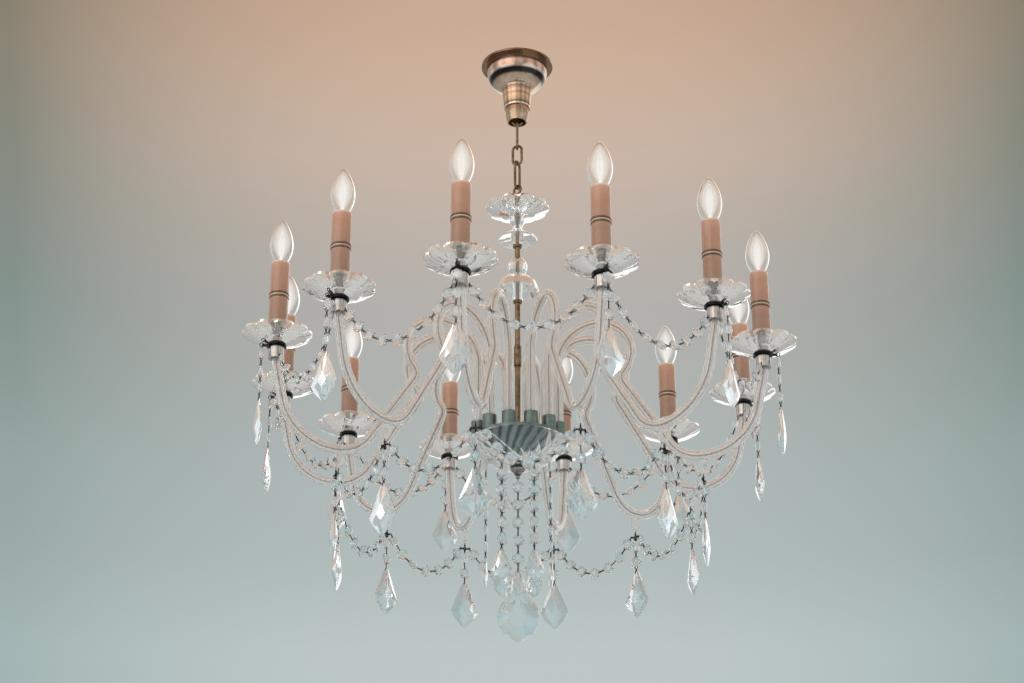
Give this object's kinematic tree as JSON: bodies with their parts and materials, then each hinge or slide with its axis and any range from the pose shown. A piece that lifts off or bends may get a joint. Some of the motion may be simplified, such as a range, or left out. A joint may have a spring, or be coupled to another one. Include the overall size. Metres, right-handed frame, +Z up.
{
  "type": "glass chandelier",
  "caption": "Ceiling chandelier of clear glass candle arms with bead garlands and crystal drops, hung from a chain under a chrome canopy.",
  "frame": {"origin": "middle of the ceiling bracket's upper face, between its two screw holes, on the ceiling", "axes": "+Z up to the ceiling and along the screws, +X along the line of the screws, -Y to the front; the chandelier hangs to -Z"},
  "size_m": [0.8004, 0.8004, 0.9244],
  "materials": {
    "bracket_steel": "plain zinc",
    "canopy_chrome": "polished",
    "dark_nickel": "polished dark nickel",
    "chain_metal": "aged",
    "crystal": "cut and polished",
    "arm_glass": "clear, drawn",
    "smoky_glass": "fluted, silvered",
    "bulb_glass": "clear",
    "candle_plastic": "satin",
    "holder_plastic": "moulded",
    "wire_sheath": "clear sheath on twisted wire"
  },
  "bodies": {
    "ceiling_fixing": {"ceiling_bracket": "bracket_steel", "hanging_loop": "dark_nickel"},
    "canopy": {"canopy_cup": "canopy_chrome", "canopy_collar": "dark_nickel"},
    "link_1": {"chain_link_1": "chain_metal"},
    "link_2": {"chain_link_2": "chain_metal"},
    "link_3": {"chain_link_3": "chain_metal"},
    "chandelier": {"stem_rod": "dark_nickel", "top_dish": "crystal", "bell_dish": "crystal", "stem_ball": "crystal", "receiver_plate": "dark_nickel", "hub_bowl": "smoky_glass", "hub_finial": "dark_nickel", "arm_wires": "wire_sheath", "arm_cups": "dark_nickel", "bobeches": "crystal", "candle_sleeves": "candle_plastic", "lamp_holders": "holder_plastic", "bulbs": "bulb_glass", "upper_garland": "crystal", "lower_garland": "crystal", "hub_strings": "crystal", "arm_01": "arm_glass", "arm_02": "arm_glass", "arm_03": "arm_glass", "arm_04": "arm_glass", "arm_05": "arm_glass", "arm_06": "arm_glass", "arm_07": "arm_glass", "arm_08": "arm_glass", "arm_09": "arm_glass", "arm_10": "arm_glass", "arm_11": "arm_glass", "arm_12": "arm_glass"},
    "upper_drop_01": {"upper_pendant_01": "crystal"},
    "upper_drop_02": {"upper_pendant_02": "crystal"},
    "upper_drop_03": {"upper_pendant_03": "crystal"},
    "upper_drop_04": {"upper_pendant_04": "crystal"},
    "upper_drop_05": {"upper_pendant_05": "crystal"},
    "upper_drop_06": {"upper_pendant_06": "crystal"},
    "upper_drop_07": {"upper_pendant_07": "crystal"},
    "upper_drop_08": {"upper_pendant_08": "crystal"},
    "upper_drop_09": {"upper_pendant_09": "crystal"},
    "upper_drop_10": {"upper_pendant_10": "crystal"},
    "upper_drop_11": {"upper_pendant_11": "crystal"},
    "upper_drop_12": {"upper_pendant_12": "crystal"},
    "lower_drop_01": {"lower_pendant_01": "crystal"},
    "lower_drop_02": {"lower_pendant_02": "crystal"},
    "lower_drop_03": {"lower_pendant_03": "crystal"},
    "lower_drop_04": {"lower_pendant_04": "crystal"},
    "lower_drop_05": {"lower_pendant_05": "crystal"},
    "lower_drop_06": {"lower_pendant_06": "crystal"},
    "lower_drop_07": {"lower_pendant_07": "crystal"},
    "lower_drop_08": {"lower_pendant_08": "crystal"},
    "lower_drop_09": {"lower_pendant_09": "crystal"},
    "lower_drop_10": {"lower_pendant_10": "crystal"},
    "lower_drop_11": {"lower_pendant_11": "crystal"},
    "lower_drop_12": {"lower_pendant_12": "crystal"},
    "centre_drop": {"centre_pendant": "crystal"}
  },
  "joints": [
    {"name": "canopy_drop", "type": "slide", "parent": "ceiling_fixing", "child": "canopy", "axis": [0, 0, -1], "range_m": [0, 0.022]},
    {"name": "link_1_swing", "type": "hinge", "parent": "ceiling_fixing", "child": "link_1", "pos_m": [0, 0, -0.1055], "axis": [1, 0, 0], "range_deg": [-8, 8]},
    {"name": "link_2_swing", "type": "hinge", "parent": "link_1", "child": "link_2", "pos_m": [0, 0, -0.1472], "axis": [0, 1, 0], "range_deg": [-8, 8]},
    {"name": "link_3_swing", "type": "hinge", "parent": "link_2", "child": "link_3", "pos_m": [0, 0, -0.1749], "axis": [-0.9659, 0.2588, 0], "range_deg": [-8, 8]},
    {"name": "stem_swing", "type": "hinge", "parent": "link_3", "child": "chandelier", "pos_m": [0, 0, -0.2166], "axis": [-0.5, -0.866, 0], "range_deg": [-5, 5]},
    {"name": "upper_drop_01_swing", "type": "hinge", "parent": "chandelier", "child": "upper_drop_01", "pos_m": [0.11712, -0.36045, -0.5272], "axis": [-0.9511, -0.309, 0], "range_deg": [-4, 40]},
    {"name": "upper_drop_02_swing", "type": "hinge", "parent": "chandelier", "child": "upper_drop_02", "pos_m": [0.28165, -0.2536, -0.5272], "axis": [-0.6691, -0.7431, 0], "range_deg": [-4, 40]},
    {"name": "upper_drop_03_swing", "type": "hinge", "parent": "chandelier", "child": "upper_drop_03", "pos_m": [0.37072, -0.0788, -0.5272], "axis": [-0.2079, -0.9781, 0], "range_deg": [-4, 40]},
    {"name": "upper_drop_04_swing", "type": "hinge", "parent": "chandelier", "child": "upper_drop_04", "pos_m": [0.36045, 0.11712, -0.5272], "axis": [0.309, -0.9511, 0], "range_deg": [-4, 40]},
    {"name": "upper_drop_05_swing", "type": "hinge", "parent": "chandelier", "child": "upper_drop_05", "pos_m": [0.2536, 0.28165, -0.5272], "axis": [0.7431, -0.6691, 0], "range_deg": [-4, 40]},
    {"name": "upper_drop_06_swing", "type": "hinge", "parent": "chandelier", "child": "upper_drop_06", "pos_m": [0.0788, 0.37072, -0.5272], "axis": [0.9781, -0.2079, 0], "range_deg": [-4, 40]},
    {"name": "upper_drop_07_swing", "type": "hinge", "parent": "chandelier", "child": "upper_drop_07", "pos_m": [-0.11712, 0.36045, -0.5272], "axis": [0.9511, 0.309, 0], "range_deg": [-4, 40]},
    {"name": "upper_drop_08_swing", "type": "hinge", "parent": "chandelier", "child": "upper_drop_08", "pos_m": [-0.28165, 0.2536, -0.5272], "axis": [0.6691, 0.7431, 0], "range_deg": [-4, 40]},
    {"name": "upper_drop_09_swing", "type": "hinge", "parent": "chandelier", "child": "upper_drop_09", "pos_m": [-0.37072, 0.0788, -0.5272], "axis": [0.2079, 0.9781, 0], "range_deg": [-4, 40]},
    {"name": "upper_drop_10_swing", "type": "hinge", "parent": "chandelier", "child": "upper_drop_10", "pos_m": [-0.36045, -0.11712, -0.5272], "axis": [-0.309, 0.9511, 0], "range_deg": [-4, 40]},
    {"name": "upper_drop_11_swing", "type": "hinge", "parent": "chandelier", "child": "upper_drop_11", "pos_m": [-0.2536, -0.28165, -0.5272], "axis": [-0.7431, 0.6691, 0], "range_deg": [-4, 40]},
    {"name": "upper_drop_12_swing", "type": "hinge", "parent": "chandelier", "child": "upper_drop_12", "pos_m": [-0.0788, -0.37072, -0.5272], "axis": [-0.9781, 0.2079, 0], "range_deg": [-4, 40]},
    {"name": "lower_drop_01_swing", "type": "hinge", "parent": "chandelier", "child": "lower_drop_01", "pos_m": [0.08216, -0.25287, -0.7118], "axis": [-0.9511, -0.309, 0], "range_deg": [-30, 30]},
    {"name": "lower_drop_02_swing", "type": "hinge", "parent": "chandelier", "child": "lower_drop_02", "pos_m": [0.19759, -0.17791, -0.7118], "axis": [-0.6691, -0.7431, 0], "range_deg": [-30, 30]},
    {"name": "lower_drop_03_swing", "type": "hinge", "parent": "chandelier", "child": "lower_drop_03", "pos_m": [0.26007, -0.05528, -0.7118], "axis": [-0.2079, -0.9781, 0], "range_deg": [-30, 30]},
    {"name": "lower_drop_04_swing", "type": "hinge", "parent": "chandelier", "child": "lower_drop_04", "pos_m": [0.25287, 0.08216, -0.7118], "axis": [0.309, -0.9511, 0], "range_deg": [-30, 30]},
    {"name": "lower_drop_05_swing", "type": "hinge", "parent": "chandelier", "child": "lower_drop_05", "pos_m": [0.17791, 0.19759, -0.7118], "axis": [0.7431, -0.6691, 0], "range_deg": [-30, 30]},
    {"name": "lower_drop_06_swing", "type": "hinge", "parent": "chandelier", "child": "lower_drop_06", "pos_m": [0.05528, 0.26007, -0.7118], "axis": [0.9781, -0.2079, 0], "range_deg": [-30, 30]},
    {"name": "lower_drop_07_swing", "type": "hinge", "parent": "chandelier", "child": "lower_drop_07", "pos_m": [-0.08216, 0.25287, -0.7118], "axis": [0.9511, 0.309, 0], "range_deg": [-30, 30]},
    {"name": "lower_drop_08_swing", "type": "hinge", "parent": "chandelier", "child": "lower_drop_08", "pos_m": [-0.19759, 0.17791, -0.7118], "axis": [0.6691, 0.7431, 0], "range_deg": [-30, 30]},
    {"name": "lower_drop_09_swing", "type": "hinge", "parent": "chandelier", "child": "lower_drop_09", "pos_m": [-0.26007, 0.05528, -0.7118], "axis": [0.2079, 0.9781, 0], "range_deg": [-30, 30]},
    {"name": "lower_drop_10_swing", "type": "hinge", "parent": "chandelier", "child": "lower_drop_10", "pos_m": [-0.25287, -0.08216, -0.7118], "axis": [-0.309, 0.9511, 0], "range_deg": [-30, 30]},
    {"name": "lower_drop_11_swing", "type": "hinge", "parent": "chandelier", "child": "lower_drop_11", "pos_m": [-0.17791, -0.19759, -0.7118], "axis": [-0.7431, 0.6691, 0], "range_deg": [-30, 30]},
    {"name": "lower_drop_12_swing", "type": "hinge", "parent": "chandelier", "child": "lower_drop_12", "pos_m": [-0.05528, -0.26007, -0.7118], "axis": [-0.9781, 0.2079, 0], "range_deg": [-30, 30]},
    {"name": "centre_drop_swing", "type": "hinge", "parent": "chandelier", "child": "centre_drop", "pos_m": [0, 0, -0.686], "axis": [1, 0, 0], "range_deg": [-20, 20]}
  ]
}
